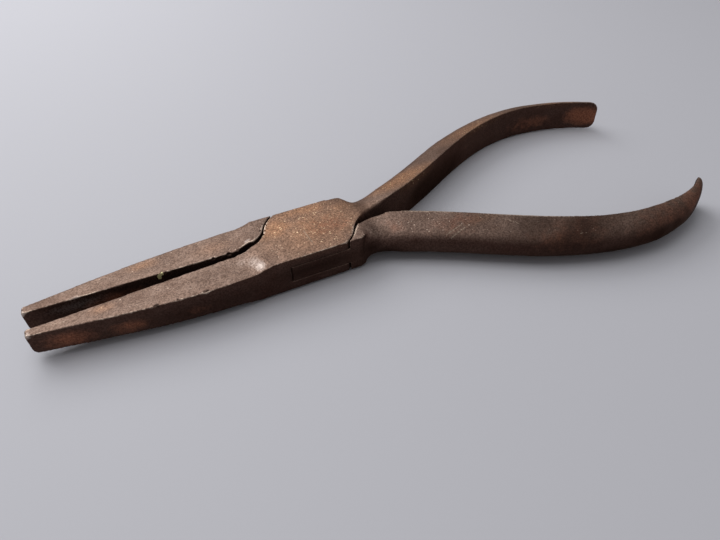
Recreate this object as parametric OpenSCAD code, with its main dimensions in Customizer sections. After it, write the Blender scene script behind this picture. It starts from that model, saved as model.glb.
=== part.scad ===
// Small flat-nose box-joint pliers, forged in two halves that cross in a box joint and turn on one rivet.
// The pivot is the Z axis, the jaws point to -X, the handles to +X, and Z = 0 is the joint's underside.

/* [Joint] */
// Width of the joint across its two flat sides
joint_w = 16; // [14.5:0.1:18]
// Thickness of the joint from its underside to its top
joint_t = 7.8; // [7:0.1:9.5]
// Thickness of each cheek of the box
cheek_t = 2.0; // [1.4:0.1:2.6]
// Radius about the pivot of the ends of the cheeks
cheek_r = 9.6; // [9.2:0.1:10.4]
// How far the tongue's round ends reach past the cheeks
tongue_step = 0.8; // [0.4:0.1:1.2]
// Gap between round faces that slide past each other
turning_gap = 0.3; // [0.15:0.05:0.5]
// Gap above and below the tongue in the slot
slot_gap = 0.05; // [0.03:0.01:0.12]
// Angle by which the joint's flat sides turn from the grip faces
side_turn = 2.4; // [0:0.1:4]

/* [Rivet] */
// Diameter of the rivet's shank
rivet_d = 5; // [3.5:0.1:6.5]
// How much wider the peened heads are than the shank
rivet_head = 1.2; // [0.4:0.1:2]
// Depth of the countersinks that the heads fill
countersink = 0.6; // [0.3:0.05:1.2]
// Running clearance of the tongue round the rivet
bore_gap = 0.05; // [0.02:0.01:0.1]

/* [Jaws] */
// Length of the tongue half's jaw, from the pivot to its tip
jaw_len = 57; // [44:0.5:75]
// How much shorter the box half's jaw is worn
jaw_worn = 0.5; // [0:0.1:2]
// Width of one jaw at its tip
tip_w = 1.75; // [1.2:0.05:3]
// Height of the jaws at the tip
tip_h = 4.8; // [3.6:0.1:5.8]
// Height of the jaws at the foot of the ramp
root_h = 6.1; // [5.2:0.1:6.8]
// Angle at which the outer side of a jaw leaves the tip
tip_angle = 11; // [6:0.5:14]
// Angle at which the box half's jaw meets the joint, below zero where it bulges
box_jaw_angle = -3; // [-6:0.5:6]
// Angle at which the tongue half's jaw meets the joint
tongue_jaw_angle = 2; // [-6:0.5:6]
// Where the outer side of a jaw meets the joint's flat side
jaw_start = 12; // [11:0.5:16]
// Radius of the upper corner of the tips
tip_top_r = 0.4; // [0.1:0.05:1]
// Radius of the lower corner of the tips, worn rounder
tip_low_r = 1.1; // [0.2:0.05:1.6]
// Gap between the jaws when they are shut
bite_gap = 0.1; // [0.05:0.01:0.3]

/* [Ramps] */
// Where the ramp up to the joint starts on top of the jaws
ramp_start = 17.4; // [16:0.1:20]
// Radius of the hollow that forms this ramp
ramp_r = 11; // [6:0.5:16]
// Angle by which this ramp is set across the jaw
ramp_turn = 14; // [0:1:20]
// Where the flatter ramp under the jaws starts
low_ramp_start = 22; // [20:0.5:28]
// Radius of the hollow that forms the lower ramp
low_ramp_r = 35; // [10:1:60]

/* [Shoulders] */
// Radius of the webs in front of the cheeks and of the shoulder that meets them
front_web_r = 6; // [2:0.5:8]
// Radius of the webs behind the cheeks and of the shoulder that meets them
rear_web_r = 8.5; // [3:0.5:10]
// Depth of the worn hollow in the tongue half's jaw by the joint
hollow_depth = 0.8; // [0:0.05:1.2]
// Radius of that hollow
hollow_r = 4; // [2.5:0.1:6]
// Distance of that hollow from the pivot
hollow_x = 13; // [11.5:0.1:18]
// How far past the middle the handles' seam lies
seam_shift = 0.5; // [0:0.1:1]
// Where the seam ends and the handles' inner faces part
seam_end = 12.6; // [11.5:0.1:12.7]
// Where the box half's flat top ends in the middle
box_flat_end = 14.3; // [13.4:0.1:16]
// Where the tongue half's flat top ends in the middle
tongue_flat_end = 13.6; // [13.4:0.1:16]
// How much earlier the flat tops end at the joint's sides
flat_skew = 3.7; // [0:0.1:4]
// Radius of the joint's corners there
heel_r = 3; // [0.5:0.1:3.5]

/* [Handles] */
// Distance from the pivot to the widest place of the handles
wide_x = 70; // [55:0.5:85]
// Inner face of the box half's handle there, from the middle
box_wide = 19.9; // [14:0.1:28]
// Inner face of the tongue half's handle there, from the middle
tongue_wide = 24.2; // [14:0.1:28]
// Distance from the pivot to the end of the box half's handle
box_end_x = 93.6; // [88:0.1:105]
// Inner face of the box half's handle at its end
box_end_y = 11.6; // [8:0.1:18]
// Angle by which the box half's handle turns in at its end
box_end_angle = 38; // [20:1:50]
// Distance from the pivot to the end of the tongue half's handle
tongue_end_x = 88.7; // [86:0.1:105]
// Inner face of the tongue half's handle at its end
tongue_end_y = 18.7; // [12:0.1:22]
// Angle by which the tongue half's handle turns in at its end
tongue_end_angle = 44; // [20:1:50]
// Angle at which the box half's handle leaves the joint
box_root_angle = 8; // [4:0.5:16]
// Angle at which the tongue half's handle leaves the joint
tongue_root_angle = 14.5; // [8:0.5:20]
// Thickness of the handles at the neck
neck_t = 6.7; // [5.6:0.1:7]
// Thickness that the handles tend to along their grips, before they thin out to their ends
grip_t = 6.3; // [4.8:0.1:6.8]
// Thickness of the handles' ends
end_t = 1.3; // [0.9:0.1:3]
// Height of the handles past the neck
grip_h = 8.8; // [8:0.1:10]
// Height of the handles at their ends
end_h = 7.8; // [6.5:0.1:9]
// Radius of the corners of the handles' ends
end_r = 2.2; // [0.6:0.1:2.4]
// How much thicker the handles are where they leave the joint
neck_flare = 0.5; // [0:0.1:0.7]
// How much lower than the joint's flats the handles leave it, above and below
neck_drop = 0.3; // [0.1:0.05:0.6]
// Squareness of the handles' outer side where it leaves the joint
root_square = 8; // [5:0.5:10]
// Squareness of the handles' outer side at the neck
neck_square = 5; // [2.5:0.1:6]
// Squareness of the handles' outer side at the end
end_square = 2.6; // [2:0.1:4]
// Angle at which the top and bottom of a handle fall away outwards at the neck
neck_fall = 15; // [0:1:18]
// Angle at which they fall away at the end
end_fall = 4; // [0:1:8]

/* [Pose] */
// Angle by which the jaws stand open
open_angle = 4.8; // [0:0.1:45]

/* [Hidden] */
$fn = 96;

// Joint sizes that follow from the ones above
slot_h = joint_t - 2 * cheek_t;
tongue_t = slot_h - 2 * slot_gap;
shoulder_r = cheek_r + turning_gap;
tongue_r = cheek_r + tongue_step;
pocket_r = tongue_r + turning_gap;
rivet_r = rivet_d / 2;
head_r = (rivet_d + rivet_head) / 2;

// How far faces that would only touch run into each other, how far the seam runs past its end,
// and how far cuts and outlines run on beyond the shape
hair = 0.02;
lip = 0.15;
beyond = 1;

// Heights of the seam between the handles, seen in a half's own frame
box_seam = seam_shift - bite_gap / 2;
tongue_seam = -seam_shift - bite_gap / 2;

// The handles' inner faces: root, angle there, widest place, end, angle there
box_bow = [[seam_end, -box_seam + hair], box_root_angle,
           [wide_x, box_wide], [box_end_x, box_end_y], -box_end_angle];
tongue_bow = [[seam_end, -tongue_seam + hair], tongue_root_angle,
              [wide_x, tongue_wide], [tongue_end_x, tongue_end_y], -tongue_end_angle];

// How finely the handles are drawn
bow_start = -0.05;
bow_steps = 40;
hook_steps = 14;
corner_steps = 4;
side_steps = 18;

// Where along a handle its flare and its swell end, where it starts to thin and how evenly it does so,
// and how much a corner narrows it
flare_end = 0.06;
swell_end = 0.14;
thin_start = 0.6;
thin_power = 0.9;
corner_thinning = 0.35;

// Smooth curve from p to q that leaves p at angle ap and reaches q at angle aq
function heading(a) = [cos(a), sin(a)];
function curve(p, ap, q, aq, t) =
    (2 * pow(t, 3) - 3 * pow(t, 2) + 1) * p
    + (pow(t, 3) - 2 * pow(t, 2) + t) * norm(q - p) * heading(ap)
    + (3 * pow(t, 2) - 2 * pow(t, 3)) * q
    + (pow(t, 3) - pow(t, 2)) * norm(q - p) * heading(aq);
function curve_run(p, ap, q, aq, t) =
    (6 * pow(t, 2) - 6 * t) * (p - q)
    + (3 * pow(t, 2) - 4 * t + 1) * norm(q - p) * heading(ap)
    + (3 * pow(t, 2) - 2 * t) * norm(q - p) * heading(aq);

// Smooth step from 0 at a to 1 at b
function limited(v) = max(0, min(1, v));
function ease(a, b, s) = let (v = limited((s - a) / (b - a))) v * v * (3 - 2 * v);

// Place and heading along a handle: s is 0 at the root, 1 at the widest place and 2 at the end
function bow_point(b, s) = s < 1 ? curve(b[0], b[1], b[2], 0, s) : curve(b[2], 0, b[3], b[4], s - 1);
function bow_run(b, s) = s < 1 ? curve_run(b[0], b[1], b[2], 0, s) : curve_run(b[2], 0, b[3], b[4], s - 1);
function bow_out(b, s) = let (r = bow_run(b, s) / norm(bow_run(b, s))) [-r[1], r[0]];

// Thickness, height, squareness and fall of a handle along s, before its end is rounded
function flare(s) = 1 - ease(bow_start, flare_end, s);
function handle_t(s) =
    neck_t + (grip_t - neck_t) * ease(0, 1, s)
    + (end_t - grip_t) * pow(limited((s - thin_start) / (2 - thin_start)), thin_power)
    + neck_flare * flare(s);
function handle_h(s) =
    let (start_h = joint_t - 2 * neck_drop, full_h = grip_h + (end_h - grip_h) * limited(s / 2))
    start_h + (full_h - start_h) * ease(bow_start, swell_end, s);
function handle_square(s) =
    neck_square + (end_square - neck_square) * limited(s) + (root_square - neck_square) * flare(s);
function handle_fall(s) = tan(neck_fall + (end_fall - neck_fall) * limited(s / 2)) * (1 - flare(s));

// Stations along a handle as [s, corner angle], closer together round the end's corners
function stations(b) =
    let (corner = end_r / norm(b[3] - b[2]))
    concat([for (i = [0:bow_steps]) [bow_start + (1 - bow_start) * i / bow_steps, 0]],
           [for (i = [1:hook_steps]) [1 + (1 - corner) * i / hook_steps, 0]],
           [for (i = [1:corner_steps])
               let (a = 90 * i / corner_steps) [2 - corner * (1 - sin(a)), a]]);

// One ring of a handle: a flat inner face and a rounded outer side
function ring(b, s, a) =
    let (p = bow_point(b, s), out = bow_out(b, s), n = 2 / handle_square(s),
         t = handle_t(s) * (1 - corner_thinning * (1 - cos(a))),
         h = handle_h(s) / 2 - end_r * (1 - cos(a)),
         inner = max(0, b[0][1] + lip - p[1]) * (s < 0 ? 1 : 0))
    [for (k = [0:side_steps])
        let (v = -90 + 180 * k / side_steps,
             u = inner + (t - inner) * pow(max(0, cos(v)), n),
             z = sign(v) * pow(abs(sin(v)), n) * (h - handle_fall(s) * u),
             q = p + out * u)
        [q[0], q[1], z]];

// Skin over rings that all have m points
function skin_faces(rings, m) =
    concat([[for (k = [0:m - 1]) k]],
           [for (i = [0:rings - 2], k = [0:m - 1])
               let (a = i * m + k, b = i * m + (k + 1) % m) [a, a + m, b]],
           [for (i = [0:rings - 2], k = [0:m - 1])
               let (a = i * m + k, b = i * m + (k + 1) % m) [b, a + m, b + m]],
           [[for (k = [m - 1:-1:0]) (rings - 1) * m + k]]);

module handle(b) {
    rows = stations(b);
    mirror([0, 1, 0])
        polyhedron(points = [for (r = rows) each ring(b, r[0], r[1])],
                   faces = skin_faces(len(rows), side_steps + 1), convexity = 6);
}

// A half has two frames. In the grip frame its shut jaw's flat face, its seam and its handle run along X.
// In the joint frame the joint's flat sides do. A point and a shape taken from the first to the second
function turned(p) =
    [p[0] * cos(side_turn) + p[1] * sin(side_turn), p[1] * cos(side_turn) - p[0] * sin(side_turn)];
module turn() {
    rotate([0, 0, -side_turn]) children();
}

// A disc about the pivot between the joint's flat sides
module flat_disc(r) {
    intersection() {
        circle(r);
        square([4 * r, joint_w], center = true);
    }
}

// Corner between a circle about the pivot and a line at height y, on the -X side, up to a fillet
module web(r, y, fillet) {
    mid_y = y + fillet - hair;
    mid = [-sqrt(pow(r + fillet - hair, 2) - pow(mid_y, 2)), mid_y];
    difference() {
        polygon([mid, [mid[0], y - beyond], [beyond - r, y - beyond], mid * (r - beyond) / norm(mid)]);
        translate(mid) circle(fillet);
    }
}

// Plan of a jaw and the joint's side behind it, in the joint frame
module jaw_plan(len, angle) {
    foot = [-jaw_start, joint_w / 2];
    tip = turned([-len, tip_w]);
    steps = 24;
    polygon(concat([turned([0, bite_gap / 2]), turned([-len - beyond, bite_gap / 2]),
                    turned([-len - beyond, tip_w - beyond * tan(tip_angle)])],
                   [for (i = [0:steps])
                       curve(tip, tip_angle - side_turn, foot, angle - side_turn, i / steps)],
                   [[0, joint_w / 2]]));
}

// Side view of a jaw: a slow taper to the tip, whose corners are rounded
module jaw_side(len) {
    low = [-len + tip_low_r, -tip_h / 2 + tip_low_r];
    top = [-len + tip_top_r, tip_h / 2 - tip_top_r];
    polygon(concat([for (a = [270:-10:180]) low + tip_low_r * heading(a)],
                   [for (a = [180:-10:90]) top + tip_top_r * heading(a)],
                   [[-ramp_start - beyond, root_h / 2 - hair], [-ramp_start - beyond, joint_t],
                    [beyond, joint_t], [beyond, -joint_t], [-low_ramp_start - beyond, -joint_t],
                    [-low_ramp_start - beyond, hair - root_h / 2]]));
}

// What a hollow ramp takes off above a jaw
module ramp_cut(start, r, angle) {
    translate([-start, 0, root_h / 2])
        rotate([0, 0, -angle]) {
            translate([-joint_w / 2, -joint_w, 0]) cube([joint_w / 2, 3 * joint_w, joint_t]);
            translate([0, 2 * joint_w, r]) rotate([90, 0, 0]) cylinder(r = r, h = 3 * joint_w);
        }
}

module ramps() {
    turn() {
        ramp_cut(ramp_start, ramp_r, ramp_turn);
        mirror([0, 0, 1]) ramp_cut(low_ramp_start, low_ramp_r, 0);
    }
}

module jaw(len, angle) {
    intersection() {
        linear_extrude(joint_t, center = true) jaw_plan(len, angle);
        turn() rotate([90, 0, 0]) linear_extrude(4 * joint_w, center = true) jaw_side(len);
    }
}

// Where the line through p towards u meets the line through q towards v
function meet(p, u, q, v) =
    p + u * ((q[0] - p[0]) * v[1] - (q[1] - p[1]) * v[0]) / (u[0] * v[1] - u[1] * v[0]);

// What rounding takes off a corner at p, whose sides run towards u and v
module corner_cut(p, u, v, r) {
    half = acos(u * v) / 2;
    mid = p + (u + v) / norm(u + v) * (r - hair) / sin(half);
    difference() {
        polygon([p - (u + v) * r, p + u * r / tan(half), mid, p + v * r / tan(half)]);
        translate(mid) circle(r);
    }
}

// The joint's side behind the pivot, below the seam, with its flat top ending on a slant
module heel(seam, end, bow) {
    slant = [flat_skew, joint_w / 2] / norm([flat_skew, joint_w / 2]);
    corner = [end - flat_skew, -joint_w / 2];
    inner = meet(turned([seam_end, seam - beyond]), heading(-bow[1] - side_turn), corner, slant);
    linear_extrude(joint_t, center = true)
        difference() {
            polygon([turned([0, seam]), turned([seam_end + lip, seam]),
                     turned([seam_end + lip, seam - beyond]), inner, corner, [0, -joint_w / 2]]);
            corner_cut(corner, slant, [-1, 0], heel_r);
        }
}

// Copies of a flat shape at the height of each cheek
module at_cheeks(t, h) {
    for (side = [0, 1])
        mirror([0, 0, side])
            translate([0, 0, t]) linear_extrude(h) children();
}

// One half in the joint frame: its jaw at +Y, its handle at -Y
module half_blank(len, angle, seam, end, bow) {
    jaw(len, angle);
    heel(seam, end, bow);
    turn() handle(bow);
}

// Plan of a cheek: a disc with a web to the jaw and a web to the heel
module cheek_plan() {
    flat_disc(cheek_r);
    turn() {
        mirror([0, 1, 0]) web(cheek_r, -bite_gap / 2, front_web_r);
        intersection() {
            mirror([1, 0, 0]) web(cheek_r, box_seam, rear_web_r);
            square([2 * (seam_end - lip), joint_w], center = true);
        }
    }
}

module box_in_joint() {
    difference() {
        union() {
            half_blank(jaw_len - jaw_worn, box_jaw_angle, box_seam, box_flat_end, box_bow);
            at_cheeks(slot_h / 2, cheek_t) cheek_plan();
        }
        ramps();
        cylinder(r = pocket_r, h = slot_h, center = true);
        rivet_shape();
    }
}

// Plan of what the tongue half leaves free for a cheek
module shoulder_plan() {
    circle(shoulder_r);
    turn() {
        web(shoulder_r, bite_gap / 2, front_web_r);
        rotate([0, 0, 180]) web(shoulder_r, -tongue_seam, rear_web_r);
    }
}

module tongue_in_joint() {
    difference() {
        union() {
            difference() {
                half_blank(jaw_len, tongue_jaw_angle, tongue_seam, tongue_flat_end, tongue_bow);
                ramps();
                at_cheeks(tongue_t / 2, joint_t) shoulder_plan();
            }
            linear_extrude(tongue_t, center = true) flat_disc(tongue_r);
        }
        cylinder(r = rivet_r + bore_gap, h = 2 * joint_t, center = true);
        turn()
            translate([-hollow_x, bite_gap / 2 + hollow_depth - hollow_r, 0])
                cylinder(r = hollow_r, h = 2 * joint_t, center = true);
    }
}

// The rivet's shank and the two heads that fill the countersinks
module rivet_shape() {
    cylinder(r = rivet_r, h = joint_t, center = true);
    for (side = [0, 1])
        mirror([0, 0, side])
            translate([0, 0, joint_t / 2 - countersink])
                cylinder(r1 = rivet_r, r2 = head_r, h = countersink);
}

module box_half() {
    color("#5a4538")
        translate([0, 0, joint_t / 2])
            rotate([0, 0, open_angle / 2 - side_turn])
                mirror([0, 1, 0]) box_in_joint();
}

module tongue_half() {
    color("#4c3a30")
        translate([0, 0, joint_t / 2])
            rotate([0, 0, side_turn - open_angle / 2]) tongue_in_joint();
}

module pivot_rivet() {
    color("#6a5142")
        translate([0, 0, joint_t / 2]) rivet_shape();
}

box_half();
tongue_half();
pivot_rivet();
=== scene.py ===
# Flat-nose box-joint pliers of old browned steel, lying on a pale bench top.
import math

import bpy
import numpy as np
from mathutils import Matrix, Vector


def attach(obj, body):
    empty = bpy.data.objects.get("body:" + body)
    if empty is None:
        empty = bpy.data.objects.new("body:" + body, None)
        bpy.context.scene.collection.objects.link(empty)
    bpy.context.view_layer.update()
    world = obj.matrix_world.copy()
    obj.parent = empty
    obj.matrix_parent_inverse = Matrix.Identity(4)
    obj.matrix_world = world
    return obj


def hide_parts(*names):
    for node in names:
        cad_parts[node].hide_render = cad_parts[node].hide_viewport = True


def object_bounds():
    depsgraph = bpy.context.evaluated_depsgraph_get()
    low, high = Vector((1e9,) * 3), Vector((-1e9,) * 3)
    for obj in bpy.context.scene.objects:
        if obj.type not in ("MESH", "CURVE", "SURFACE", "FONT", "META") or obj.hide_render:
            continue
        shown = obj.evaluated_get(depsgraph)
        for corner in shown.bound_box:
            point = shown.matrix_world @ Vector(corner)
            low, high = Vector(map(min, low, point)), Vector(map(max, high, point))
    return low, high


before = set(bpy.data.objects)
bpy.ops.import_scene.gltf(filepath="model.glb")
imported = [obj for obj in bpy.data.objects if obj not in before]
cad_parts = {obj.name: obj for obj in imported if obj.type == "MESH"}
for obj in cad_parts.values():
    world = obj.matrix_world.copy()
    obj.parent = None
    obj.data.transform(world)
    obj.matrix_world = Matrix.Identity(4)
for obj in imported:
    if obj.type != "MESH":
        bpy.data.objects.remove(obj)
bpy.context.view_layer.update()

MM = 0.001
# Points that are nearer to each other than this are one
SAME_POINT = 0.001 * MM

# Camera of the photograph: a wide phone lens close above the joint, tilted a little
CAMERA_PLACE = (-27.709 * MM, -90.337 * MM, 80.742 * MM)
CAMERA_YAW = 23.419
CAMERA_DOWN = 42.326
CAMERA_ROLL = -2.416
CAMERA_LENS = 28
SENSOR_WIDTH = 36
NEAREST_SEEN = 2 * MM


def make_camera():
    yaw, down, roll = (math.radians(a) for a in (CAMERA_YAW, CAMERA_DOWN, CAMERA_ROLL))
    ahead = Vector((math.sin(yaw) * math.cos(down), math.cos(yaw) * math.cos(down), -math.sin(down)))
    level = Vector((math.cos(yaw), -math.sin(yaw), 0))
    above = level.cross(ahead)
    right = level * math.cos(roll) + above * math.sin(roll)
    up = above * math.cos(roll) - level * math.sin(roll)
    camera = bpy.data.objects.new("camera", bpy.data.cameras.new("camera"))
    bpy.context.scene.collection.objects.link(camera)
    camera.matrix_world = Matrix((right, up, -ahead)).transposed().to_4x4()
    camera.location = CAMERA_PLACE
    camera.data.lens = CAMERA_LENS
    camera.data.sensor_width = SENSOR_WIDTH
    camera.data.clip_start = NEAREST_SEEN
    bpy.context.scene.camera = camera


make_camera()


def only(piece):
    """Selects one piece and makes it the active one."""
    bpy.ops.object.select_all(action="DESELECT")
    piece.select_set(True)
    bpy.context.view_layer.objects.active = piece


def copy_of(node, name):
    """A CAD node's mesh as a new piece, its loose triangles merged."""
    piece = bpy.data.objects.new(name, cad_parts[node].data.copy())
    bpy.context.scene.collection.objects.link(piece)
    only(piece)
    bpy.ops.object.mode_set(mode="EDIT")
    bpy.ops.mesh.select_all(action="SELECT")
    bpy.ops.mesh.remove_doubles(threshold=SAME_POINT)
    bpy.ops.object.mode_set(mode="OBJECT")
    return piece


def finish_with(piece, kind, **settings):
    """Adds a modifier to a piece and applies it."""
    only(piece)
    modifier = piece.modifiers.new(kind.lower(), kind)
    for name, value in settings.items():
        setattr(modifier, name, value)
    bpy.ops.object.modifier_apply(modifier=modifier.name)


# How finely the forgings' skins are drawn: the step between points in millimetres, and the most triangles
SKIN_VOXEL = 0.15
SKIN_FACES = 190000
# How often a skin is rubbed smooth: all over, and where its shapes run softly together
RUBS_ALL_OVER = 3
RUBS_AT_BLENDS = 360
# Unevenness of an old forged and filed surface: size of the lumps and their height, in millimetres
UNEVEN = [("hammer_waves", 5.0, 0.10), ("file_waves", 1.6, 0.05), ("pitting", 0.5, 0.05)]

# Nicks and chips of long use, in millimetres: middle, radii and how far each is turned about Z, in degrees. The
# last one of the tongue half is the hollow that a file left on the heel's rear edge
TONGUE_CHIPS = [((-47.2, 2.0, 6.6), (0.8, 0.3, 0.4), 20), ((-15.4, 0.9, 7.6), (0.4, 0.5, 0.8), 35),
                ((-17.3, 0.95, 6.7), (0.5, 0.25, 0.35), 10), ((-18.9, 0.9, 6.6), (0.35, 0.2, 0.2), -20),
                ((-20.6, 1.0, 6.6), (0.5, 0.2, 0.2), 0), ((-30.2, 1.4, 6.5), (0.4, 0.2, 0.2), 0),
                ((-8.1, 5.5, 7.8), (0.25, 0.4, 0.25), -30), ((-9.4, 3.9, 7.8), (0.35, 0.25, 0.3), 20),
                ((-10.3, 2.9, 7.8), (0.25, 0.2, 0.25), 40), ((12.4, -6.0, 8.7), (2.4, 6, 1.3), 0)]
BOX_CHIPS = [((-16.9, -0.65, 6.9), (0.7, 0.25, 0.35), 0), ((-14.4, -0.45, 7.4), (0.4, 0.3, 0.4), 30),
             ((-33.5, -7.2, 6.6), (0.6, 0.25, 0.25), -8), ((-24.0, -7.9, 6.8), (0.8, 0.25, 0.25), 0),
             ((-29.5, -7.6, 6.7), (0.4, 0.2, 0.2), 0), ((-19.5, -0.75, 6.6), (0.5, 0.2, 0.2), 0),
             ((-7.6, 5.3, 7.8), (0.2, 0.35, 0.25), -25), ((-8.6, 3.6, 7.8), (0.25, 0.3, 0.3), 0),
             ((-9.3, 2.4, 7.8), (0.4, 0.3, 0.3), 40)]
# Where the steel was left fuller, behind the heel
TONGUE_SWELLS = [((12.4, -5.5, 5.5), (2.6, 2.8, 1.9), 0), ((12.0, -6.8, 5.4), (2.0, 1.3, 1.75), 0)]

# The rivet's two heads, spread thin over the rims of their countersinks and filed almost flush
PEENED_HEADS = [((0, 0, 7.49), (7, 7, 0.37), 0), ((0, 0, 0.31), (7, 7, 0.37), 0)]

# Where a forging's shapes run softly into each other behind the joint: middle, radii, strength
BLENDS = [((15, 5, 4), (6, 8, 9), 2.2), ((9.3, 7.8, 4), (3.5, 3.5, 9), 0.25), ((13.6, -6.2, 4), (4.4, 7, 9), 3)]
# Into how many levels a spot's strength is sorted for rubbing
RUB_LEVELS = 10


def hammer_into(piece, bits, how):
    """Cuts small round nicks out of a piece, or adds small round swells to it."""
    for middle, radii, turn in bits:
        bpy.ops.mesh.primitive_ico_sphere_add(subdivisions=3, radius=MM)
        punch = bpy.context.object
        bpy.ops.object.mode_set(mode="EDIT")
        bpy.ops.transform.resize(value=radii, center_override=(0, 0, 0))
        bpy.ops.transform.rotate(value=math.radians(turn), orient_axis="Z", center_override=(0, 0, 0))
        bpy.ops.transform.translate(value=[c * MM for c in middle])
        bpy.ops.object.mode_set(mode="OBJECT")
        finish_with(piece, "BOOLEAN", object=punch, operation=how, solver="EXACT")
        bpy.data.objects.remove(punch)


def points_of(piece, what="co"):
    """The places of a piece's points, or the directions in which its skin faces there."""
    values = np.zeros(len(piece.data.vertices) * 3, np.float32)
    if what == "co":
        piece.data.vertices.foreach_get("co", values)
    else:
        piece.data.vertex_normals.foreach_get("vector", values)
    return values.reshape(-1, 3).astype(float)


def spots_at(piece, spots):
    """How strongly soft spots cover each point; a spot has a middle, radii along X, Y and Z, and a strength."""
    place = points_of(piece) / MM
    values = np.zeros(len(place))
    for middle, radii, strength in spots:
        reach = np.sqrt((((place - middle) / radii) ** 2).sum(1))
        values = np.maximum(values, strength * np.clip(1 - reach, 0, 1))
    return np.clip(values, 0, 1)


def soften(piece, spots, times):
    """Rubs a piece smoother where the spots cover it."""
    levels = np.round(spots_at(piece, spots) * RUB_LEVELS)
    if not levels.any():
        return
    group = piece.vertex_groups.new(name="softened")
    for level in range(1, RUB_LEVELS + 1):
        group.add([int(i) for i in np.nonzero(levels == level)[0]], level / RUB_LEVELS, "REPLACE")
    finish_with(piece, "SMOOTH", factor=0.9, iterations=times, vertex_group="softened")


def forged_skin(piece):
    """Turns a copied CAD solid into the skin of an old forging: corners rubbed round, faces uneven and pitted."""
    finish_with(piece, "REMESH", mode="VOXEL", voxel_size=SKIN_VOXEL * MM)
    finish_with(piece, "SMOOTH", factor=0.5, iterations=RUBS_ALL_OVER)
    soften(piece, BLENDS, RUBS_AT_BLENDS)
    for name, size, height in UNEVEN:
        texture = bpy.data.textures.get(name) or bpy.data.textures.new(name, "CLOUDS")
        texture.noise_scale = size * MM
        texture.noise_depth = 2
        finish_with(piece, "DISPLACE", texture=texture, texture_coords="LOCAL", strength=height * MM, mid_level=0.5)
    finish_with(piece, "TRIANGULATE")
    if len(piece.data.polygons) > SKIN_FACES:
        finish_with(piece, "DECIMATE", ratio=SKIN_FACES / len(piece.data.polygons))
    piece.data.shade_smooth()


# How strongly all outer corners are rubbed bright, beside the places named for each forging
RUB_ALL = 0.32
# How sharply a skin bends where rubbing on outer corners and darkening in inner ones begin, in radians per
# millimetre, how much more makes them full, and how often the bend is averaged with that of the points next to it
RUB_FROM, RUB_SPAN, RUB_TIMES = 0.45, 1.0, 3
INNER_DARK_FROM, INNER_DARK_SPAN, INNER_DARK_TIMES = 0.15, 0.8, 6
# How thick bright specks, worn grains and painted sparkle, lie on all upward faces, and where they lie thicker
SPECKED_ALL = 0.72
SPECKED = [((1, 0, 7.8), (22, 14, 5), 0.4), ((24, -9, 7), (22, 12, 5), 0.55)]

# Marks of age on each forging, every one a middle and radii in millimetres and a strength: rust is orange-brown, gilt
# is where the brown has turned golden, the polishing is metal rubbed bright and also a painted highlight on the jaws'
# ramps, rubs are corners that use keeps bright, the dark marks are grime and also painted shade on the near sides and
# under and along the handles, and the fleck is a bit of old brass that clings to the far jaw's grip face
BOX_MARKS = {
    "rust": [((-50, -5.2, 3.4), (10, 3, 3.6), 0.85), ((-39, -6.6, 3.2), (7, 3, 3), 0.8),
             ((-27, -8, 3), (7, 3, 3), 0.5), ((4, -1, 7.8), (10, 8, 2), 0.55), ((90, 17, 3.8), (10, 6, 4), 1.4),
             ((75, 22, 3), (14, 5, 5), 0.6), ((0, -8, 3), (4, 1, 2), 0.35), ((50, 18, 4), (14, 4, 4), 0.35),
             ((30, 8, 3), (12, 4, 4), 0.35)],
    "gilt": [((-6.5, 3.2, 7.8), (8, 6, 2), 1.0), ((1, 6.5, 7.8), (11, 4.5, 2), 0.85), ((9, 4, 7.9), (7, 5, 2), 0.6),
             ((2, 0, 7.8), (20, 15, 2), 0.7), ((26, 8, 7.6), (16, 6, 3), 1.0), ((54, 20, 8), (24, 8, 2.5), 0.7),
             ((82, 21, 7.9), (14, 5, 2), 0.5), ((-43, -3.4, 6.6), (4, 2, 1.5), 0.45)],
    # Metal rubbed bright, and a painted highlight on the near jaw's ramp up to the joint
    "polish_and_highlight": [((-12.8, -6.3, 7.4), (1.8, 2.2, 1.4), 0.85), ((-13.6, -4.6, 7.3), (3.0, 3.2, 1.4), 0.5),
               ((-15.5, -3.4, 7.0), (5, 4, 1.2), 0.3), ((-55.9, -3.9, 6.0), (0.9, 1.2, 1.0), 0.8)],
    "rubs": [((-56, -3.5, 6.2), (3, 3, 2), 1.5), ((-38, -6.3, 6.6), (9, 1.5, 1.2), 1.3),
             ((-24, -7.6, 6.8), (9, 1.5, 1.2), 1.8), ((-14, -3, 7.2), (3, 4, 2), 1.2),
             ((-8, -1, 7.8), (3, 4, 1.5), 0.7), ((8.5, -5, 7.8), (3, 3, 2), 0.8), ((0, -8, 7.8), (13, 1, 1), 1.1),
             ((-8.4, 3.6, 7.8), (3, 5, 1), 1.0)],
    # Dark grime, and painted shade along the near side and low down under the far handle
    "soot_and_shade": [((-2, -8, 4), (14, 2, 3.4), 0.9), ((10, -8, 3), (5, 3, 5), 0.9), ((16, 2, 4), (6, 3, 4), 0.7),
             ((-24, -8, 3), (22, 2.5, 3.6), 0.6), ((38, 11, 2.5), (26, 9, 5), 2.0),
             ((-22, -4, 6.9), (10, 5, 1.5), 0.3)],
}
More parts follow.
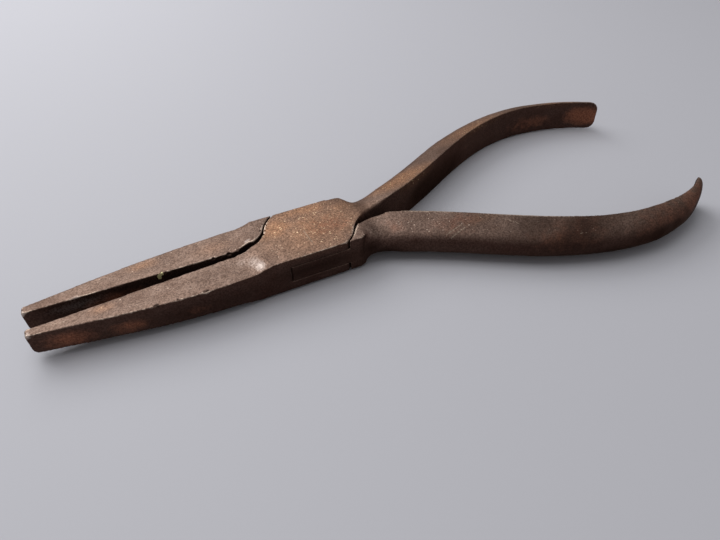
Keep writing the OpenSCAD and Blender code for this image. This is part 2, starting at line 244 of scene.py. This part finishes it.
TONGUE_MARKS = {
    "rust": [((-40, 2.0, 3.6), (12, 1.5, 2.8), 0.9), ((-24, 1.5, 4), (8, 1.5, 3), 0.5),
             ((-46, 4, 6.5), (8, 2.5, 1.5), 0.3), ((18, -6.5, 7), (12, 8, 5), 0.42),
             ((30, -12, 7), (18, 9, 5), 0.5), ((50, -25, 6.5), (26, 10, 7), 0.6),
             ((70, -30, 6.5), (20, 8, 6), 0.62), ((82, -28, 6), (14, 8, 5), 0.85), ((12, -8, 4), (4, 2, 4), 0.3)],
    "gilt": [((-34, 5.4, 6.7), (5, 2.2, 1.5), 0.5), ((-20, 4, 6.8), (8, 4, 1.5), 0.3),
             ((34, -14, 8.2), (10, 3, 2), 0.3)],
    # Metal rubbed bright, and a painted highlight on the far jaw's root
    "polish_and_highlight": [((-12.9, 2.1, 7.6), (1.3, 0.9, 0.8), 0.7), ((-56.8, 2.6, 6.1), (0.9, 1.0, 1.0), 0.8),
               ((-47, 2.2, 6.3), (1.6, 0.8, 0.8), 0.5), ((-46, 2.2, 4.6), (14, 1.2, 2.6), 0.42)],
    "rubs": [((-56.5, 2.5, 6.2), (3, 3, 2), 1.5), ((-24, 1.5, 6.6), (9, 1.2, 1.2), 1.5),
             ((-45, 2.2, 6.5), (9, 1.2, 1), 1.1), ((8.4, -4.8, 7.8), (1.8, 4, 3), 1.7),
             ((-12.5, 1.8, 7.6), (3, 2, 1.5), 1.4), ((26, -7.5, 8.2), (12, 4, 1.5), 1.3),
             ((43, -18, 8), (16, 7, 1.5), 1.0), ((-9, 4.2, 7.8), (3, 4, 1), 0.8)],
    # Dark grime, and painted shade along the near side, under the near handle and towards its far end
    "soot_and_shade": [((-2, -8, 4), (14, 2, 3.4), 0.9), ((-34, 4.5, 6.7), (13, 4, 1.5), 0.28),
             ((12.4, -5.6, 7.2), (1.6, 4, 2.5), 0.6), ((14, -8.5, 2), (8, 4, 3), 0.8),
             ((10.5, -8.3, 4), (4, 2, 4.5), 0.9), ((86, -26, 3), (14, 10, 6), 1.6),
             ((72, -32.5, 4), (22, 4, 5.5), 1.4), ((70, -30, 4), (22, 8, 8), 0.85),
             ((34, -14, 7), (20, 8, 6), 0.45), ((22, -7.5, 7.6), (9, 5, 4), 0.28),
             ((44, -21, 7.5), (16, 10, 5), 0.75), ((52, -25, 6), (20, 9, 7), 0.95), ((58, -30, 2), (22, 6, 4), 0.8)],
    "fleck": [((-31.5, 1.4, 5.9), (0.7, 1.2, 1.1), 1.5), ((-30.9, 1.4, 6.4), (0.5, 1.0, 0.6), 1.5)],
}

# Scratches on the upper side: two ends in plan and a width, in millimetres
BOX_SCRATCHES = [((-1.3, -0.4), (-1.0, -5.2), 0.14), ((-9.5, -3.2), (-8.6, -4.4), 0.12),
                 ((-52, -3.2), (-49.5, -3.6), 0.1)]
TONGUE_SCRATCHES = [((25.7, -13.7), (29.9, -13.2), 0.14), ((26.3, -14.6), (30.1, -14.2), 0.12),
                    ((38.4, -16.3), (40.2, -18.8), 0.12), ((50, -26.4), (51.6, -27.0), 0.1)]
# The height in millimetres above which the upper side begins, and where a scratch ends beside its line, in widths
UPPER_SIDE = 4
SCRATCH_EDGE = 1.4


def paint(piece, name, values):
    """Keeps one number per point of a piece for its material to read."""
    layer = piece.data.attributes.new(name, "FLOAT", "POINT")
    layer.data.foreach_set("value", np.clip(values, 0, 1).astype(np.float32))


def spread(values, ends, times):
    """Averages each point's value with its neighbours' a few times."""
    count = np.bincount(ends.ravel(), minlength=len(values)) + 1.0
    for _ in range(times):
        total = values.copy()
        np.add.at(total, ends[:, 0], values[ends[:, 1]])
        np.add.at(total, ends[:, 1], values[ends[:, 0]])
        values = total / count
    return values


def paint_corners(piece, rubs):
    """Paints where hands and other tools rub, on outer corners, and darkens inner corners by how sharply they bend.
    """
    place, normal = points_of(piece), points_of(piece, "normal")
    ends = np.zeros(len(piece.data.edges) * 2, np.int32)
    piece.data.edges.foreach_get("vertices", ends)
    ends = ends.reshape(-1, 2)
    along = place[ends[:, 1]] - place[ends[:, 0]]
    bend = ((normal[ends[:, 1]] - normal[ends[:, 0]]) * along).sum(1)
    bend /= np.maximum((along ** 2).sum(1), SAME_POINT ** 2)
    total = np.zeros(len(place))
    np.add.at(total, ends[:, 0], bend)
    np.add.at(total, ends[:, 1], bend)
    bend = total / np.maximum(np.bincount(ends.ravel(), minlength=len(place)), 1) * MM
    outer = np.clip((spread(bend, ends, RUB_TIMES) - RUB_FROM) / RUB_SPAN, 0, 1)
    paint(piece, "rubbed_corner", outer * (RUB_ALL + (1 - RUB_ALL) * spots_at(piece, rubs)))
    # Darker where the skin bends inward
    paint(piece, "dark_inner_corner", (-spread(bend, ends, INNER_DARK_TIMES) - INNER_DARK_FROM) / INNER_DARK_SPAN)


def paint_scratches(piece, scratches):
    """Paints thin scratches on a piece's top, each given by its two ends in plan and its width."""
    place = points_of(piece) / MM
    values = np.zeros(len(place))
    for start, end, width in scratches:
        run = np.subtract(end, start)
        share = np.clip((place[:, :2] - start) @ run / (run @ run), 0, 1)
        away = np.linalg.norm(place[:, :2] - start - share[:, None] * run, axis=1)
        values = np.maximum(values, np.clip(SCRATCH_EDGE - away / width, 0, 1) * (place[:, 2] > UPPER_SIDE))
    paint(piece, "scratch", values)


def colour(code):
    """An sRGB hex colour as the linear colour that Blender reads."""
    parts = [int(code[i:i + 2], 16) / 255 for i in (1, 3, 5)]
    return [p / 12.92 if p <= 0.04045 else ((p + 0.055) / 1.055) ** 2.4 for p in parts] + [1]


def add(tree, kind, links=None, **settings):
    """Adds a node to a tree, with its settings and what goes into its inputs: a value, or another node's output."""
    node = tree.nodes.new(kind)
    for name, value in settings.items():
        setattr(node, name, value)
    for key, source in (links or {}).items():
        if isinstance(source, bpy.types.NodeSocket):
            tree.links.new(source, node.inputs[key])
        else:
            node.inputs[key].default_value = source
    return node


BENCH_TONE = "#c3c3ca"
BACKDROP = "#c4c3c7"
# The bench top's side, and how far from the tool it begins to run into the backdrop and has done so, in metres
BENCH_SIDE = 8
FADE_FROM, FADE_TO = 0.26, 0.75


def seen_directly(tree):
    """1 for rays that show the background: the camera's, and those that metal sends on to it."""
    rays = add(tree, "ShaderNodeLightPath")
    seen = rays.outputs["Is Camera Ray"]
    for kind in ("Is Glossy Ray", "Is Transmission Ray"):
        seen = add(tree, "ShaderNodeMath", {0: seen, 1: rays.outputs[kind]}, operation="MAXIMUM").outputs[0]
    return seen


def set_bench():
    """A plain bench top that runs into the backdrop's tone well away from the tool."""
    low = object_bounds()[0]
    bpy.ops.mesh.primitive_plane_add(size=BENCH_SIDE, location=(0, 0, low.z))
    bench = bpy.context.object
    bench.name = "bench_top"
    # Matt painted board: it gives the eye nothing but soft light and the tool's shadow
    material = bpy.data.materials.new("matt_painted_board")
    material.use_nodes = True
    tree = material.node_tree
    shader = tree.nodes["Principled BSDF"]
    shader.inputs["Base Color"].default_value = colour(BENCH_TONE)
    shader.inputs["Roughness"].default_value = 0.7
    spot = add(tree, "ShaderNodeTexCoord").outputs["Object"]
    away = add(tree, "ShaderNodeVectorMath", {0: spot}, operation="LENGTH").outputs["Value"]
    far = add(tree, "ShaderNodeMapRange", {"Value": away, "From Min": FADE_FROM, "From Max": FADE_TO},
              interpolation_type="SMOOTHSTEP").outputs["Result"]
    share = add(tree, "ShaderNodeMath", {0: far, 1: seen_directly(tree)}, operation="MULTIPLY").outputs[0]
    backdrop = add(tree, "ShaderNodeEmission", {"Color": colour(BACKDROP), "Strength": 1.0})
    choice = add(tree, "ShaderNodeMixShader", {0: share, 1: shader.outputs[0], 2: backdrop.outputs[0]})
    tree.links.new(choice.outputs[0], tree.nodes["Material Output"].inputs["Surface"])
    bench.data.materials.append(material)


def softbox(name, place, width, height, radiance):
    """A lamp behind a flat screen that faces the joint, given by how bright the screen looks."""
    lamp = bpy.data.lights.new(name, "AREA")
    lamp.shape = "RECTANGLE"
    lamp.size = width
    lamp.size_y = height
    lamp.energy = radiance * math.pi * width * height
    holder = bpy.data.objects.new(name, lamp)
    bpy.context.scene.collection.objects.link(holder)
    holder.location = place
    holder.rotation_euler = (-Vector(place)).to_track_quat("-Z", "Y").to_euler()


def light_studio():
    """A wide window behind the tool, a ceiling light above it, and the faint light of a pale room all round."""
    softbox("window_softbox", place=(-0.16, 0.42, 0.38), width=0.6, height=0.36, radiance=3.0)
    softbox("ceiling_softbox", place=(-0.1, 0.1, 0.5), width=0.34, height=0.34, radiance=2.5)
    world = bpy.data.worlds.new("studio")
    bpy.context.scene.world = world
    world.use_nodes = True
    tree = world.node_tree
    tree.nodes.clear()
    around = add(tree, "ShaderNodeBackground", {"Color": colour("#ffffff"), "Strength": 0.25})
    seen = add(tree, "ShaderNodeBackground", {"Color": colour(BACKDROP), "Strength": 1.0})
    choice = add(tree, "ShaderNodeMixShader", {0: seen_directly(tree), 1: around.outputs[0], 2: seen.outputs[0]})
    add(tree, "ShaderNodeOutputWorld", {"Surface": choice.outputs[0]})


# Bright specks of 0.2 mm and less, where the brown skin has worn through on the highest grains and a painted sparkle
# stands for light caught by them: how far apart the grains lie and how ragged they are, in millimetres, and how
# steeply each falls off from its middle
SPECK_STEP = 0.55
SPECK_RAG = 0.6
SPECK_FALL = -2.2


# Carbon steel, forged and filed, browned by age: a thin dark oxide over metal. It gives the eye a dull, grainy,
# brown sheen, light where hands rub it, orange where it rusts and nearly black where it turns away from the lamp,
# where painted shade darkens its colour on the faces that turn sideways.
def browned_steel():
    material = bpy.data.materials.new("browned_forged_steel")
    material.use_nodes = True
    tree = material.node_tree
    shader = tree.nodes["Principled BSDF"]
    place = add(tree, "ShaderNodeTexCoord").outputs["Object"]

    painted = {}
    for name in ("flat", "specked_and_sparkling", "rubbed_corner", "dark_inner_corner", "rust", "gilt", "polish_and_highlight", "soot_and_shade", "scratch",
                 "fleck"):
        painted[name] = add(tree, "ShaderNodeAttribute", attribute_name=name).outputs["Fac"]
    # Clouds of oxide, blotches of rust, and pores, which are drawn a little coarser than real ones so that they show
    cloudy = {}
    for name, size, detail, rough in (("cloud", 9, 4, 0.6), ("blotch", 2.2, 4, 0.65), ("grain", 0.35, 3, 0.7)):
        noise = add(tree, "ShaderNodeTexNoise", {"Vector": place, "Scale": 1 / (size * MM), "Detail": detail,
                                                 "Roughness": rough})
        cloudy[name] = noise.outputs["Fac"]
    # The last noise, that of the pores, also makes the grains ragged. A grain turns bright where it stands highest,
    # as worn metal and as painted sparkle
    ragged = add(tree, "ShaderNodeVectorMath", {0: noise.outputs["Color"], 1: (SPECK_RAG * MM,) * 3, 2: place},
                 operation="MULTIPLY_ADD").outputs["Vector"]
    grit = add(tree, "ShaderNodeTexVoronoi", {"Vector": ragged, "Scale": 1 / (SPECK_STEP * MM)})
    speck = add(tree, "ShaderNodeMath", {0: grit.outputs["Distance"], 1: SPECK_FALL, 2: grit.outputs["Color"]},
                operation="MULTIPLY_ADD").outputs[0]

    # Each layer's cover: two things that meet, how they meet, the span that counts, and the shares at its two ends
    cover = {}
    for name, one, other, how, low, high, to_low, to_high in (
            ("mottle", cloudy["cloud"], 0.0, "ADD", 0.35, 0.65, 0, 1),
            # painted shade: the faces that turn sideways from up or down are given a darker colour
            ("shaded", painted["flat"], 0.0, "ADD", 0, 1, 0.76, 0),
            ("paler", cloudy["blotch"], 0.0, "ADD", 0.4, 0.8, 0, 0.4),
            ("golden", painted["gilt"], cloudy["blotch"], "MULTIPLY", 0.05, 0.4, 0, 0.9),
            ("rusty", painted["rust"], cloudy["blotch"], "MULTIPLY", 0.15, 0.42, 0, 0.95),
            ("pores", cloudy["grain"], 0.0, "ADD", 0.38, 0.6, 0.6, 0),
            # dark grime, and painted shade on the sides and under and along the handles
            ("sooty_and_shaded", painted["soot_and_shade"], cloudy["cloud"], "MULTIPLY", 0.05, 0.45, 0, 0.86),
            ("worn", painted["rubbed_corner"], cloudy["grain"], "MULTIPLY", 0.14, 0.4, 0, 0.85),
            # metal rubbed bright, and a painted highlight on the jaws' ramps
            ("bare_and_highlight", painted["polish_and_highlight"], cloudy["grain"], "MULTIPLY", 0.1, 0.45, 0, 0.9),
            ("scored", painted["scratch"], cloudy["grain"], "MULTIPLY", 0.15, 0.5, 0, 0.7),
            # worn grains and painted sparkle, on the upward faces and the golden places
            ("specks_and_sparkle", speck, painted["specked_and_sparkling"], "MULTIPLY", 0.3, 0.5, 0, 0.7),
            ("glints", speck, painted["gilt"], "MULTIPLY", 0.1, 0.25, 0, 0.7),
            # darker in inner corners, by how sharply the skin bends inward
            ("darkened_inner", painted["dark_inner_corner"], 0.0, "ADD", 0, 1, 0, 0.8),
            ("brassy", painted["fleck"], cloudy["grain"], "MULTIPLY", 0.25, 0.35, 0, 1)):
        meeting = add(tree, "ShaderNodeMath", {0: one, 1: other}, operation=how)
        cover[name] = add(tree, "ShaderNodeMapRange", {"Value": meeting.outputs[0], "From Min": low, "From Max": high,
                                                       "To Min": to_low, "To Max": to_high}).outputs["Result"]

    # The layers from the ground up
    tone = colour("#6f5b50")
    # 140c0a darkens the inner corners
    # 1e0f0a is dark grime and painted shade
    # 341611 is painted shade on the faces that turn sideways
    # b8aca4 is metal rubbed bright, and a painted highlight on the jaws' ramps
    # dcc6b4 and #e8caa0 are worn grains and painted sparkle
    for name, hue in (("mottle", "#897366"), ("paler", "#9e8a7e"), ("golden", "#ac8366"), ("shaded", "#341611"),
                      ("rusty", "#965f47"), ("pores", "#24140e"), ("sooty_and_shaded", "#1e0f0a"), ("worn", "#b3a090"),
                      ("bare_and_highlight", "#b8aca4"), ("scored", "#948474"), ("specks_and_sparkle", "#dcc6b4"), ("glints", "#e8caa0"),
                      ("darkened_inner", "#140c0a"), ("brassy", "#efe6ac")):
        tone = add(tree, "ShaderNodeMix", {0: cover[name], 6: tone, 7: colour(hue)}, data_type="RGBA").outputs[2]
    tree.links.new(tone, shader.inputs["Base Color"])
    shader.inputs["Specular Tint"].default_value = colour("#ccbab0")

    crust = add(tree, "ShaderNodeMath", {0: cover["rusty"], 1: cover["brassy"]}, operation="MAXIMUM")
    metal = add(tree, "ShaderNodeMapRange", {"Value": crust.outputs[0], "To Min": 0.85, "To Max": 0.4})
    tree.links.new(metal.outputs["Result"], shader.inputs["Metallic"])
    bared = add(tree, "ShaderNodeMath", {0: cover["worn"], 1: cover["bare_and_highlight"]}, operation="MAXIMUM")
    dull = add(tree, "ShaderNodeMapRange", {"Value": bared.outputs[0], "To Min": 0.52, "To Max": 0.38})
    rough = add(tree, "ShaderNodeMath", {0: cover["rusty"], 1: 0.2, 2: dull.outputs["Result"]},
                operation="MULTIPLY_ADD")
    tree.links.new(rough.outputs[0], shader.inputs["Roughness"])
    bump = add(tree, "ShaderNodeBump", {"Height": cloudy["grain"], "Strength": 0.6, "Distance": 0.06 * MM})
    tree.links.new(bump.outputs[0], shader.inputs["Normal"])
    return material


steel = browned_steel()


def dress(piece, node, body, marks, scratches):
    """Dresses one CAD node in a forged skin, marked by age and painted."""
    forged_skin(piece)
    paint_corners(piece, marks["rubs"])
    for mark in ("rust", "gilt", "polish_and_highlight", "soot_and_shade", "fleck"):
        paint(piece, mark, spots_at(piece, marks.get(mark, [])))
    # How squarely each point faces up or down; the material paints shade on the faces that turn sideways
    flat = points_of(piece, "normal")[:, 2] ** 2
    paint(piece, "flat", flat)
    # Worn specks and painted sparkle, thickest on upward faces
    paint(piece, "specked_and_sparkling", flat * (SPECKED_ALL + spots_at(piece, SPECKED)))
    paint_scratches(piece, scratches)
    piece.data.materials.clear()
    piece.data.materials.append(steel)
    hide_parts(node)
    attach(piece, body)


box_forging = copy_of("box_half", "box_half_forging")
hammer_into(box_forging, BOX_CHIPS, "DIFFERENCE")
dress(box_forging, "box_half", "box_side", BOX_MARKS, BOX_SCRATCHES)

tongue_forging = copy_of("tongue_half", "tongue_half_forging")
hammer_into(tongue_forging, TONGUE_SWELLS, "UNION")
hammer_into(tongue_forging, TONGUE_CHIPS, "DIFFERENCE")
dress(tongue_forging, "tongue_half", "tongue_side", TONGUE_MARKS, TONGUE_SCRATCHES)

rivet = copy_of("pivot_rivet", "pivot_rivet_peened")
hammer_into(rivet, PEENED_HEADS, "UNION")
dress(rivet, "pivot_rivet", "box_side", BOX_MARKS, BOX_SCRATCHES)

set_bench()
light_studio()
bpy.context.scene.view_settings.view_transform = "Standard"
